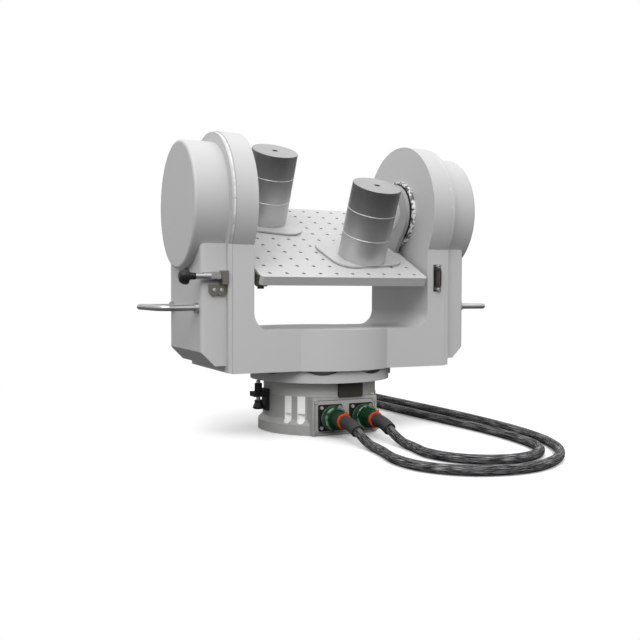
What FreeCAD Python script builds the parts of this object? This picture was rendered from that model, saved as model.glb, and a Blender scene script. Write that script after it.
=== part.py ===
import FreeCAD, Part
import math
import os
import re

import Sketcher

# Optical gimbal mount: a breadboard platform tilts between the arms of a yoke, and the yoke turns on a base.
# Origin: centre of the base's underside. +Z up, X along the elevation axis, the connectors face -Y.
# The platform rests in its stow position, tilted down at the front. Millimetres and degrees.

sizes = {
    # stack
    "flange_thickness": 14,
    "flare_height": 7,
    "base_height": 53,
    "ring_height": 20,
    "table_gap": 0.8,
    "table_thickness": 17.2,
    "yoke_rise": 228,
    # base
    "base_radius": 84,
    "foot_lip": 7,
    "base_wall": 14,
    "floor_thickness": 8,
    "floor_hole_radius": 25,
    "bolt_hole_radius": 3.3,
    "bolt_slot_radius": 5.5,
    "bolt_slot_base": 6.5,
    "bolt_slot_height": 22.5,
    "bolt_angle": 49.5,
    "bolt_spread": 7,
    "panel_half_width": 50,
    "panel_stand": 2,
    "panel_thickness": 3,
    "panel_margin": 1,
    "panel_screw_inset": 4.5,
    "screw_head_radius": 2.4,
    "screw_head_height": 1.6,
    # azimuth bearing, shaft, motor and encoder
    "ring_step": 1,
    "ring_lip": 3,
    "race_height": 16,
    "race_depth": 10,
    "race_gap": 0.5,
    "shaft_radius": 30,
    "shaft_bore": 20,
    "shaft_end": 12,
    "motor_floor": 22,
    "motor_height": 24,
    "motor_gap": 0.6,
    "encoder_step": 5,
    "encoder_height": 14,
    "encoder_thickness": 2,
    "head_length": 14,
    "head_width": 24,
    # turntable and its stops
    "table_overhang": 19.5,
    "scallop_radius": 46,
    "scallop_depth": 6.5,
    "scallop_reach": 16,
    "stop_width": 36,
    "stop_centre": 8,
    "stop_depth": 6,
    "dog_lead": 19,
    "dog_trail": 4,
    "dog_clearance": 0.5,
    "flag_width": 4,
    "flag_angle": 65,
    # azimuth stow plunger
    "latch_inset": 5.5,
    "latch_pin_radius": 3,
    "latch_clearance": 0.3,
    "latch_arm_base": 49,
    "latch_arm_height": 7,
    "latch_barrel_radius": 5.5,
    "latch_barrel_length": 19,
    "latch_travel": 5,
    "latch_knob_radius": 8,
    "latch_knob_length": 13,
    "latch_knob_neck": 4,
    # yoke
    "arm_inner": 135,
    "arm_thickness": 30,
    "yoke_half_depth": 85,
    "head_radius": 102.5,
    "bridge_thickness": 56.5,
    "window_fillet": 24,
    "turret_radius": 108.5,
    # covers
    "cover_flange": 6,
    "cover_inset": 1,
    "box_depth": 34,
    "box_front": 74,
    "box_back": 79,
    "box_drop": 56,
    "box_lift": 10,
    "box_chamfer": 19,
    "box_round": 6,
    "wall": 4,
    "drum_radius": 88,
    "drum_depth": 46,
    "drum_round": 4,
    "fit_gap": 0.2,
    # handles
    "handle_drop": 141,
    "handle_half_span": 60,
    "handle_reach": 52,
    "handle_bend": 13,
    "handle_radius": 4,
    "ferrule_radius": 7,
    "ferrule_length": 5,
    # elevation bearings, shafts, motor and encoder
    "bearing_radius": 42,
    "bearing_split": 35,
    "bearing_width": 18,
    "trunnion_radius": 30,
    "trunnion_bore": 22,
    "trunnion_flange": 41,
    "trunnion_reach": 40,
    "retainer_radius": 50,
    "retainer_bore": 42.5,
    "retainer_height": 5,
    "stator_radius": 78,
    "stator_bore": 55,
    "elevation_motor_width": 28,
    "disc_radius": 60,
    "disc_gap": 15,
    # platform
    "tilt": 25.3,
    "platform_half_width": 129,
    "platform_top": 49.4,
    "platform_thickness": 12.7,
    "platform_shift": 9,
    "platform_margin": 12.5,
    "platform_round": 6,
    "hole_pitch": 25,
    "hole_radius": 2.6,
    "upright_outer": 128,
    "upright_thickness": 6,
    "upright_radius": 45,
    "upright_foot": 34,
    "upright_waist": 13,
    "upright_bore": 26,
    # weights on their seat plates
    "weight_radius": 35,
    "weight_height": 36.6,
    "weight_bore": 4.5,
    "left_weight_x": -53,
    "left_weight_y": 80,
    "right_weight_x": 51,
    "right_weight_y": -62,
    "weight_edge": 0.5,
    "seat_thickness": 2.5,
    "seat_lift": 3.5,
    "seat_half_length": 58,
    "seat_half_width": 48,
    "seat_round": 28,
    "left_seat_x": -2,
    "left_seat_y": -4,
    "right_seat_x": 2,
    "right_seat_y": 16,
    # elevation stow plunger and its receiver
    "pin_forward": 79.5,
    "pin_drop": 99.5,
    "pin_radius": 2.5,
    "pin_clearance": 0.2,
    "pin_setback": 0.5,
    "tail_radius": 4,
    "barrel_across": 10.5,
    "barrel_length": 24,
    "hex_length": 14,
    "pin_travel": 10,
    "bracket_depth": 9,
    "bracket_foot": 24,
    "knob_radius": 11,
    "knob_length": 22,
    "receiver_thickness": 3,
    "receiver_width": 18,
    "receiver_foot": 13,
    # D-sub connector
    "dsub_inset": 14,
    "dsub_drop": 98.8,
    "dsub_length": 39,
    "dsub_width": 12.5,
    "dsub_rim_length": 24,
    "dsub_rim_width": 8.4,
    "dsub_rim_height": 4.5,
    "dsub_taper": 1,
    "dsub_wall": 0.6,
    # circular connectors and cables
    "connector_spacing": 24,
    "connector_height": 25.6,
    "connector_flange": 36,
    "connector_flange_thickness": 3,
    "connector_screw_offset": 14,
    "shell_radius": 14,
    "shell_length": 16,
    "nut_radius": 17.5,
    "nut_length": 20,
    "nut_gap": 0.3,
    "backshell_radius": 11.5,
    "backshell_length": 24,
    "ring_band": 4,
    "boot_radius": 8.6,
    "boot_length": 36,
    "boot_droop": 24,
    "cable_radius": 6,
    "coil_radius": 66,
    "coil_half_width": 18,
    "plug_radius": 12,
}
derived = {
    "flange_radius": "base_radius + foot_lip",
    "cavity_radius": "base_radius - base_wall",
    "bolt_circle_radius": "base_radius",
    "panel_front": "base_radius + panel_stand",
    "ring_radius": "base_radius - ring_step",
    "race_split": "cavity_radius - race_depth",
    "hub_radius": "race_split - race_depth",
    "encoder_radius": "hub_radius - encoder_step",
    "table_radius": "ring_radius + table_overhang",
    "latch_radius": "table_radius - latch_inset",
    "stop_reach": "ring_radius + stop_depth",
    "dog_radius": "sqrt((latch_radius - latch_barrel_radius - dog_clearance) ^ 2 - dog_lead ^ 2)",
    "arm_outer": "arm_inner + arm_thickness",
    "box_reach": "arm_outer + cover_flange + box_depth",
    "drum_reach": "arm_outer + cover_flange + drum_depth",
    "trunnion_end": "arm_outer + trunnion_reach",
    "disc_place": "arm_outer + disc_gap",
    "dsub_place": "arm_outer - dsub_inset",
}

# Plan of each cable on the floor, from the point where it comes down to the point where its coil starts.
cableRoutes = {
    "left": [(-24, -195.8), (-28, -242), (-42, -294), (-34, -348), (8, -390), (78, -400), (144, -365),
             (196, -298), (223, -191), (231, -41), (223.5, 180), (223.5, 332)],
    "right": [(24, -195.8), (20, -240), (12, -280), (33, -330), (84, -353), (139, -336), (174, -285),
              (187, -176), (181, -56), (175.5, 45), (175.5, 165)],
}
coilPlaces = {"left": (134, 332), "right": (86, 165)}
plugAngle = 130
arcShare = 0.45

holeColumns = 10
holeRows = 11
scallopCount = 8
socketCount = 18
weightLayers = 3
seatTurns = {"left": -13, "right": 8}
sides = {"left": -1, "right": 1}

doc = FreeCAD.newDocument("gimbal_mount")
sheet = doc.addObject("Spreadsheet::Sheet", "Sizes")
aliases = sizes | derived
for row, (alias, given) in enumerate(aliases.items(), start=1):
    sheet.set(f"A{row}", alias)
    sheet.set(f"B{row}", f"={given}")
    sheet.setAlias(f"B{row}", alias)
doc.recompute()

tableBase = "(base_height + ring_height + table_gap)"
tableTop = f"({tableBase} + table_thickness)"
bridgeTop = f"({tableTop} + bridge_thickness)"
axisHeight = f"({tableTop} + yoke_rise)"
coverFace = "(arm_outer + cover_flange)"
shellFace = "(panel_front + connector_flange_thickness)"
clampFace = f"({shellFace} + shell_length + backshell_length)"
parts = []


def bound(text):
    """An expression on the sheet's sizes, as the other objects of the document write it."""
    return re.sub(r"[a-z_]\w*", lambda word: ("Sizes." if word.group() in aliases else "") + word.group(), str(text))


def value(text):
    """The number that an expression on the sheet's sizes gives."""
    return float(sheet.evalExpression(str(text)))


def keep(thing, name):
    thing.Label = name
    parts.append(thing)
    return thing


def newBody(name):
    return keep(doc.addObject("PartDesign::Body", name), name)


def placed(thing, x="0", y="0", z="0", turn="0", about=(0, 0, 1)):
    """Put a sub-part at its place, turned about an axis through it."""
    where = {"x": x, "y": y, "z": z}
    middle = FreeCAD.Vector(*(value(each) for each in where.values()))
    thing.Placement = FreeCAD.Placement(middle, FreeCAD.Rotation(FreeCAD.Vector(*about), value(turn)))
    for axis, each in where.items():
        thing.setExpression(f"Placement.Base.{axis}", bound(each))
    if turn != "0":
        thing.setExpression("Placement.Rotation.Angle", bound(turn))
    return thing


def onPlatform(thing):
    """The platform's frame: its origin is on the elevation axis, and its Z is square to the platform."""
    return placed(thing, z=axisHeight, turn="tilt", about=(1, 0, 0))


def newSketch(body, role, offset="0"):
    """A sketch on an origin plane of its body, moved along the plane's normal."""
    sketch = body.newObject("Sketcher::SketchObject", body.Name + "_sketch")
    plane = next(each for each in body.Origin.OriginFeatures if each.Role == role)
    sketch.AttachmentSupport = [(plane, "")]
    sketch.MapMode = "FlatFace"
    sketch.setExpression("AttachmentOffset.Base.z", bound(offset))
    return sketch


def above(body, height="0"):
    return newSketch(body, "XY_Plane", height)


def ahead(body, distance="0"):
    """A sketch that faces -Y, that far in front of the middle."""
    return newSketch(body, "XZ_Plane", distance)


def beside(body, side, distance):
    """A sketch across X at a distance from the middle: its x is Y and its y is Z."""
    return newSketch(body, "YZ_Plane", signed(side, distance))


def signed(side, text):
    return str(text) if side > 0 else f"0 - ({text})"


def dimension(sketch, kind, line, point, text):
    index = sketch.addConstraint(Sketcher.Constraint(kind, line, point, value(text)))
    sketch.setExpression(f"Constraints[{index}]", bound(text))


def polygon(sketch, corners):
    """A closed outline whose corners are bound to the sheet."""
    points = [FreeCAD.Vector(value(x), value(y), 0) for x, y in corners]
    first = sketch.GeometryCount
    for start, end in zip(points, points[1:] + points[:1]):
        sketch.addGeometry(Part.LineSegment(start, end), False)
    for step, (x, y) in enumerate(corners):
        following = first + (step + 1) % len(corners)
        sketch.addConstraint(Sketcher.Constraint("Coincident", first + step, 2, following, 1))
        dimension(sketch, "DistanceX", first + step, 1, x)
        dimension(sketch, "DistanceY", first + step, 1, y)
    return sketch


def rectangle(sketch, low, high):
    return polygon(sketch, [low, (high[0], low[1]), high, (low[0], high[1])])


def circle(sketch, x, y, radius):
    middle = FreeCAD.Vector(value(x), value(y), 0)
    line = sketch.addGeometry(Part.Circle(middle, FreeCAD.Vector(0, 0, 1), value(radius)), False)
    dimension(sketch, "DistanceX", line, 3, x)
    dimension(sketch, "DistanceY", line, 3, y)
    index = sketch.addConstraint(Sketcher.Constraint("Radius", line, value(radius)))
    sketch.setExpression(f"Constraints[{index}]", bound(radius))
    return sketch


def extruded(body, kind, sketch, length, way):
    """way is 1 along the sketch's normal, -1 against it and 0 for both ways."""
    made = body.newObject("PartDesign::" + kind, f"{body.Name}_{kind.lower()}")
    made.Profile = sketch
    made.Length = value(length)
    made.setExpression("Length", bound(length))
    made.Midplane = way == 0
    made.Reversed = way == (-1 if kind == "Pad" else 1)
    doc.recompute()
    return made


def pad(body, sketch, length, way=1):
    return extruded(body, "Pad", sketch, length, way)


def cut(body, sketch, length, way=-1):
    """A pocket, which has to take material away."""
    before = body.Shape.Volume
    made = extruded(body, "Pocket", sketch, length, way)
    if body.Shape.Volume > before - 1e-3:
        raise ValueError(body.Label + ": a pocket cut nothing")
    return made


def turned(body, role, axis, corners):
    """A full turn of an outline about an axis of its sketch."""
    outline = polygon(newSketch(body, role), corners)
    made = body.newObject("PartDesign::Revolution", body.Name + "_revolution")
    made.Profile = outline
    made.ReferenceAxis = (outline, [axis])
    made.Angle = 360
    doc.recompute()
    return made


def turnedUpright(body, corners):
    """Corners are (radius, height)."""
    return turned(body, "XZ_Plane", "V_Axis", corners)


def turnedSideways(body, corners):
    """Turned about X: corners are (place along X, radius)."""
    return turned(body, "XY_Plane", "H_Axis", corners)


def turnedForward(body, corners):
    """Turned about Y: corners are (radius, distance in front of the middle)."""
    return turned(body, "XY_Plane", "V_Axis", [(radius, f"0 - ({place})") for radius, place in corners])


def ring(body, start, end, inner, outer, turning=turnedSideways):
    """A plain ring between two places along its axis."""
    corners = [(start, inner), (end, inner), (end, outer), (start, outer)]
    if turning is not turnedSideways:
        corners = [(radius, place) for place, radius in corners]
    return turning(body, corners)


def around(body, original, count):
    """Copies of a feature round the vertical axis."""
    pattern = body.newObject("PartDesign::PolarPattern", body.Name + "_pattern")
    axis = next(each for each in body.Origin.OriginFeatures if each.Role == "Z_Axis")
    pattern.Originals = [original]
    pattern.Axis = (axis, [""])
    pattern.Angle = 360
    pattern.Occurrences = count
    body.Tip = pattern
    doc.recompute()
    return pattern


def dressed(body, kind, size, test):
    """A fillet or a chamfer on the edges that pass a test."""
    base = body.Tip
    names = [f"Edge{number}" for number, edge in enumerate(base.Shape.Edges, start=1) if test(edge)]
    if not names:
        raise ValueError(body.Label + ": no edge to dress")
    made = body.newObject("PartDesign::" + kind, f"{body.Name}_{kind.lower()}")
    made.Base = (base, names)
    made.setExpression("Radius" if kind == "Fillet" else "Size", bound(size))
    doc.recompute()
    return made


def runsAlong(edge, *direction):
    if not isinstance(edge.Curve, Part.Line):
        return False
    return abs(edge.Curve.Direction.dot(FreeCAD.Vector(*direction))) > 0.999999


def lies(number, text):
    """Whether a coordinate is at that distance from the middle, on either side."""
    return abs(abs(number) - value(text)) < 0.01


def isRim(edge, place, radius):
    """Whether an edge is a circle round X at a distance from the middle."""
    if not isinstance(edge.Curve, Part.Circle):
        return False
    return lies(edge.Curve.Radius, radius) and lies(edge.Curve.Center.x, place)


def group(name, shapes):
    """One sub-part whose solids are separate."""
    made = doc.addObject("Part::Feature", name)
    made.Shape = shapes[0] if len(shapes) == 1 else Part.makeCompound(shapes)
    return keep(made, name)


def rod(start, direction, radius, length):
    return Part.makeCylinder(value(radius), value(length), FreeCAD.Vector(*start), FreeCAD.Vector(*direction))


def tube(start, direction, inner, outer, length):
    return rod(start, direction, outer, length).cut(rod(start, direction, inner, length))


def capScrew(seat, way):
    """A socket head on its seat."""
    socket = rod(seat, way, "screw_head_radius / 2", "screw_head_height")
    socket.translate(FreeCAD.Vector(*way) * value("screw_head_height / 3"))
    return rod(seat, way, "screw_head_radius", "screw_head_height").cut(socket)


# BASE
def baseHousing():
    body = newBody("base_housing")
    turnedUpright(body, [
        ("floor_hole_radius", "0"),
        ("flange_radius", "0"),
        ("flange_radius", "flange_thickness"),
        ("base_radius", "flange_thickness + flare_height"),
        ("base_radius", "base_height"),
        ("cavity_radius", "base_height"),
        ("cavity_radius", "floor_thickness"),
        ("floor_hole_radius", "floor_thickness"),
    ])
    panelSeat = "(panel_front - panel_thickness)"
    boss = rectangle(above(body, "panel_margin"), ("0 - panel_half_width", f"0 - {panelSeat}"),
                     ("panel_half_width", "0 - sqrt(base_radius ^ 2 - panel_half_width ^ 2) * 0.9"))
    pad(body, boss, "base_height - panel_margin")
    cut(body, circle(above(body, "floor_thickness"), "0", "0", "cavity_radius"), "base_height", way=1)
    front = rectangle(above(body), ("0 - panel_half_width", "0 - 2 * flange_radius"),
                      ("panel_half_width", f"0 - {panelSeat}"))
    cut(body, front, "base_height", way=1)
    for side in sides.values():
        window = circle(ahead(body, panelSeat), signed(side, "connector_spacing"), "connector_height",
                        "backshell_radius")
        cut(body, window, "panel_front - cavity_radius / 2")
    for across in sides.values():
        for along in sides.values():
            for spread in sides.values():
                angle = f"((bolt_angle + {spread} * bolt_spread) * 1 deg)"
                x = f"{across} * bolt_circle_radius * sin({angle})"
                y = f"{along} * bolt_circle_radius * cos({angle})"
                cut(body, circle(above(body), x, y, "bolt_hole_radius"), "2 * flange_thickness", way=1)
                slot = circle(above(body, "bolt_slot_base"), x, y, "bolt_slot_radius")
                cut(body, slot, "bolt_slot_height", way=1)


def connectorPanel():
    body = newBody("connector_panel")
    face = rectangle(ahead(body, "panel_front - panel_thickness"), ("0 - panel_half_width", "panel_margin"),
                     ("panel_half_width", "base_height - panel_margin"))
    for side in sides.values():
        circle(face, signed(side, "connector_spacing"), "connector_height", "backshell_radius")
    pad(body, face, "panel_thickness")


def panelScrews():
    """The panel's corner screws and the screws of the two connector flanges."""
    across = value("panel_half_width - panel_screw_inset")
    low = value("panel_margin + panel_screw_inset")
    high = value("base_height - panel_margin - panel_screw_inset")
    seats = [(x, -value("panel_front"), z) for x in (across, -across) for z in (low, high)]
    middle = value("connector_height")
    offset = value("connector_screw_offset")
    for side in sides.values():
        place = side * value("connector_spacing")
        seats += [(place + x, -value(shellFace), middle + z) for x in (offset, -offset) for z in (offset, -offset)]
    group("panel_screws", [capScrew(seat, (0, -1, 0)) for seat in seats])


def azimuthStage():
    """The ring on the base, with the bearing, motor and encoder that turn the yoke."""
    housing = newBody("azimuth_bearing_housing")
    turnedUpright(housing, [
        ("race_split + race_gap", "base_height"),
        ("ring_radius", "base_height"),
        ("ring_radius", "base_height + ring_height"),
        ("cavity_radius", "base_height + ring_height"),
        ("cavity_radius", "base_height + ring_lip"),
        ("race_split + race_gap", "base_height + ring_lip"),
    ])
    floor = "base_height + ring_lip"
    rings = {
        "azimuth_outer_race": (floor, f"{floor} + race_height", "race_split + race_gap", "cavity_radius"),
        "azimuth_inner_race": (floor, f"{floor} + race_height", "hub_radius", "race_split"),
        "azimuth_motor_stator": ("motor_floor", "motor_floor + motor_height", "hub_radius", "cavity_radius"),
        "azimuth_motor_rotor": ("motor_floor", "motor_floor + motor_height", "shaft_radius",
                                "hub_radius - motor_gap"),
        "azimuth_encoder_disc": ("encoder_height", "encoder_height + encoder_thickness", "shaft_radius",
                                 "encoder_radius"),
    }
    for name, (low, high, inner, outer) in rings.items():
        ring(newBody(name), low, high, inner, outer, turnedUpright)
    head = newBody("azimuth_read_head")
    plan = rectangle(above(head, "floor_thickness"), ("encoder_radius + 1", "0 - head_width / 2"),
                     ("encoder_radius + 1 + head_length", "head_width / 2"))
    pad(head, plan, "motor_floor - floor_thickness - 2")
    shaft = newBody("azimuth_shaft")
    turnedUpright(shaft, [
        ("shaft_bore", "shaft_end"),
        ("shaft_radius", "shaft_end"),
        ("shaft_radius", floor),
        ("hub_radius", floor),
        ("hub_radius", tableBase),
        ("shaft_bore", tableBase),
    ])


def azimuthStops():
    """A block on the base's ring and a dog under the turntable, which meet at the ends of the turn."""
    block = newBody("azimuth_stop_block")
    plan = rectangle(above(block, "base_height + fit_gap"),
                     ("stop_centre - stop_width / 2", "0 - stop_reach"),
                     ("stop_centre + stop_width / 2", "0 - ring_radius * 0.9"))
    pad(block, plan, "ring_height - 2 * fit_gap")
    cut(block, circle(above(block, "base_height"), "0", "0", "ring_radius"), "ring_height", way=1)
    dog = newBody("azimuth_stop_dog")
    plan = rectangle(above(dog, tableBase), ("0 - dog_lead", "ring_radius + 1.5"), ("dog_trail", "dog_radius"))
    pad(dog, plan, "0.6 * ring_height", way=-1)
    flag = newBody("azimuth_home_flag")
    edge = rectangle(above(flag, tableTop), ("table_radius", "0 - flag_width / 2"),
                     ("table_radius + 3", "flag_width / 2"))
    pad(flag, edge, "0.7 * table_thickness", way=-1)
    placed(flag, turn="flag_angle - 90")


def azimuthPlunger():
    bracket = newBody("azimuth_plunger_bracket")
    armTop = "(latch_arm_base + latch_arm_height)"
    reach = "(latch_radius + latch_barrel_radius + wall)"
    side = polygon(ahead(bracket), [
        ("0 - base_radius", "latch_arm_base - 5 * wall"),
        ("0 - base_radius", f"{armTop} + wall"),
        ("0 - base_radius - wall", f"{armTop} + wall"),
        ("0 - base_radius - wall", armTop),
        (f"0 - {reach}", armTop),
        (f"0 - {reach}", "latch_arm_base"),
        ("0 - base_radius - wall", "latch_arm_base"),
        ("0 - base_radius - wall", "latch_arm_base - 5 * wall"),
    ])
    pad(bracket, side, "5 * wall", way=0)
    seat = circle(above(bracket, "latch_arm_base"), "0 - latch_radius", "0", "latch_barrel_radius")
    cut(bracket, seat, "latch_arm_height", way=1)
    bore = "latch_pin_radius + pin_clearance / 4"
    knobTop = "(latch_arm_base - latch_travel - fit_gap)"
    shapes = {
        "azimuth_plunger_barrel": [
            (bore, "latch_arm_base"),
            ("latch_barrel_radius", "latch_arm_base"),
            ("latch_barrel_radius", "latch_arm_base + latch_barrel_length"),
            (bore, "latch_arm_base + latch_barrel_length"),
        ],
        "azimuth_plunger_pin": [
            ("0", f"{knobTop} - latch_knob_neck"),
            ("latch_pin_radius", f"{knobTop} - latch_knob_neck"),
            ("latch_pin_radius", f"{tableBase} - 2.5"),
            ("latch_pin_radius - 1", f"{tableBase} - 1.5"),
            ("0", f"{tableBase} - 1.5"),
        ],
        "azimuth_plunger_knob": [
            ("0", f"{knobTop} - latch_knob_length"),
            ("latch_knob_radius - 1.5", f"{knobTop} - latch_knob_length"),
            ("latch_knob_radius", f"{knobTop} - latch_knob_length + 1.5"),
            ("latch_knob_radius", f"{knobTop} - latch_knob_length + 3"),
            ("latch_barrel_radius", f"{knobTop} - latch_knob_neck"),
            ("latch_barrel_radius", knobTop),
            ("latch_pin_radius", knobTop),
            ("latch_pin_radius", f"{knobTop} - latch_knob_neck"),
            ("0", f"{knobTop} - latch_knob_neck"),
        ],
    }
    for name, corners in shapes.items():
        body = newBody(name)
        turnedUpright(body, corners)
        placed(body, x="0 - latch_radius")


# YOKE
def turntable():
    """A disc with shallow scoops in its rim and a ring of sockets for the stow pin in its underside."""
    body = newBody("turntable")
    disc = circle(above(body, tableBase), "0", "0", "table_radius")
    circle(disc, "0", "0", "shaft_bore")
    pad(body, disc, "table_thickness")
    scallop = circle(ahead(body, "table_radius"), "0", f"{tableTop} + scallop_radius - scallop_depth",
                     "scallop_radius")
    around(body, cut(body, scallop, "scallop_reach"), scallopCount)
    turn = f"(180 deg / {scallopCount})"
    socket = circle(above(body, tableBase), f"0 - latch_radius * cos{turn}", f"latch_radius * sin{turn}",
                    "latch_pin_radius + latch_clearance")
    around(body, cut(body, socket, "latch_travel", way=1), socketCount)
    placed(body, turn=f"180 / {scallopCount}")


def yokeFrame():
    body = newBody("yoke_frame")
    front = polygon(ahead(body), [
        ("0 - arm_outer", tableTop),
        ("arm_outer", tableTop),
        ("arm_outer", axisHeight),
        ("arm_inner", axisHeight),
        ("arm_inner", bridgeTop),
        ("0 - arm_inner", bridgeTop),
        ("0 - arm_inner", axisHeight),
        ("0 - arm_outer", axisHeight),
    ])
    pad(body, front, "2 * yoke_half_depth", way=0)
    dressed(body, "Fillet", "window_fillet", lambda edge: runsAlong(edge, 0, 1, 0)
            and lies(edge.CenterOfMass.x, "arm_inner") and lies(edge.CenterOfMass.z, bridgeTop))
    for side in sides.values():
        head = circle(beside(body, side, "arm_inner"), "0", axisHeight, "head_radius")
        pad(body, head, "arm_outer - arm_inner", way=side)
    pad(body, circle(above(body, tableTop), "0", "0", "turret_radius"), "bridge_thickness")
    for side in sides.values():
        bore = circle(beside(body, side, "arm_inner"), "0", axisHeight, "bearing_radius")
        cut(body, bore, "arm_outer - arm_inner", way=side)
    cut(body, circle(above(body, tableTop), "0", "0", "hub_radius"), "bridge_thickness - 3 * wall", way=1)
    latch = circle(beside(body, -1, "arm_inner"), "0 - pin_forward", f"{axisHeight} - pin_drop",
                   "pin_radius + pin_clearance")
    cut(body, latch, "arm_outer - arm_inner")
    opening = rectangle(ahead(body, "yoke_half_depth"),
                        ("dsub_place - 3.5", f"{axisHeight} - dsub_drop - dsub_length / 3"),
                        ("dsub_place + 3.5", f"{axisHeight} - dsub_drop + dsub_length / 3"))
    cut(body, opening, "3 * wall")


def sideCover(name, side):
    """A flange plate that follows the arm, with a box on it whose bottom outer edge is chamfered."""
    body = newBody(name + "_side_cover")
    plate = rectangle(beside(body, side, "arm_outer"),
                      ("cover_inset - yoke_half_depth", f"{tableTop} + cover_inset"),
                      ("yoke_half_depth - cover_inset", axisHeight))
    pad(body, plate, "cover_flange", way=side)
    head = circle(beside(body, side, "arm_outer"), "0", axisHeight, "head_radius - cover_inset")
    pad(body, head, "cover_flange", way=side)
    boxBase = f"({tableTop} + box_lift)"
    boxTop = f"({axisHeight} - box_drop)"
    box = rectangle(beside(body, side, coverFace), ("0 - box_front", boxBase), ("box_back", boxTop))
    pad(body, box, f"box_reach - {coverFace}", way=side)
    dressed(body, "Chamfer", "box_chamfer", lambda edge: runsAlong(edge, 0, 1, 0)
            and lies(edge.CenterOfMass.x, "box_reach") and lies(edge.CenterOfMass.z, boxBase))
    dressed(body, "Fillet", "box_round", lambda edge: lies(edge.CenterOfMass.x, "box_reach")
            and (runsAlong(edge, 0, 0, 1) or runsAlong(edge, 0, 1, 0) and lies(edge.CenterOfMass.z, boxTop)))
    opening = circle(beside(body, side, "arm_outer"), "0", axisHeight, "stator_radius + 2")
    cut(body, opening, "box_reach", way=side)
    seat = circle(beside(body, side, coverFace), "0", axisHeight, "drum_radius + fit_gap")
    cut(body, seat, "box_reach", way=side)
    cavity = rectangle(beside(body, side, "arm_outer"), ("wall - box_front", f"{boxBase} + box_chamfer"),
                       ("box_back - wall", f"{axisHeight} - drum_radius - 2 * wall"))
    cut(body, cavity, "box_reach - arm_outer - wall", way=side)
    if side < 0:
        latch = circle(beside(body, side, "arm_outer"), "0 - pin_forward", f"{axisHeight} - pin_drop",
                       "pin_radius + pin_clearance")
        cut(body, latch, "cover_flange", way=side)


def drumCover(name, side):
    body = newBody(name + "_drum_cover")
    corners = [
        (coverFace, "drum_radius - wall"),
        (coverFace, "drum_radius"),
        ("drum_reach", "drum_radius"),
        ("drum_reach", "0"),
        ("drum_reach - wall", "0"),
        ("drum_reach - wall", "drum_radius - wall"),
    ]
    turnedSideways(body, [(signed(side, place), radius) for place, radius in corners])
    dressed(body, "Fillet", "drum_round", lambda edge: isRim(edge, "drum_reach", "drum_radius"))
    placed(body, z=axisHeight)


def bentBar(side):
    """A round bar that leaves the box, turns along Y and comes back."""
    start = side * value("box_reach")
    end = start + side * value("handle_reach")
    span = value("handle_half_span")
    bend = value("handle_bend")
    inset = bend * (1 - math.sqrt(0.5))
    height = value(f"{axisHeight} - handle_drop")
    half = [(start, -span), (end - side * bend, -span), (end - side * inset, inset - span), (end, bend - span)]
    at = [FreeCAD.Vector(x, y, height) for x, y in half + [(x, -y) for x, y in reversed(half)]]
    path = Part.Wire([
        Part.LineSegment(at[0], at[1]).toShape(),
        Part.Arc(at[1], at[2], at[3]).toShape(),
        Part.LineSegment(at[3], at[4]).toShape(),
        Part.Arc(at[4], at[5], at[6]).toShape(),
        Part.LineSegment(at[6], at[7]).toShape(),
    ])
    section = Part.Wire([Part.Circle(at[0], FreeCAD.Vector(side, 0, 0), value("handle_radius")).toShape()])
    return path.makePipeShell([section], True, False)


def handles():
    group("handles", [bentBar(side) for side in sides.values()])
    height = value(f"{axisHeight} - handle_drop")
    span = value("handle_half_span")
    seats = [(side * value("box_reach"), y, height) for side in sides.values() for y in (span, -span)]
    group("handle_ferrules", [tube(seat, (math.copysign(1, seat[0]), 0, 0), "handle_radius + fit_gap / 4",
                                   "ferrule_radius", "ferrule_length") for seat in seats])


def ringPair(name, start, end, inner, outer):
    """The same ring on both sides of the elevation axis."""
    height = value(axisHeight)
    group(name, [tube((side * value(start), 0, height), (side, 0, 0), inner, outer, f"{end} - {start}")
                 for side in sides.values()])


def elevationStage():
    """What the yoke carries round the elevation axis: outer races, retainers, stator and read head."""
    ringPair("elevation_outer_races", "arm_inner", "(arm_inner + bearing_width)", "bearing_split + race_gap",
             "bearing_radius")
    ringPair("bearing_retainers", "(arm_inner - retainer_height)", "arm_inner", "retainer_bore", "retainer_radius")
    stator = newBody("elevation_motor_stator")
    ring(stator, "0 - arm_outer - elevation_motor_width", "0 - arm_outer", "stator_bore", "stator_radius")
    placed(stator, z=axisHeight)
    head = newBody("elevation_read_head")
    plan = rectangle(above(head), ("arm_outer", "disc_radius + 1"), ("disc_place + 6", "disc_radius + head_length"))
    pad(head, plan, "head_width", way=0)
    placed(head, z=axisHeight)


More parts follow.
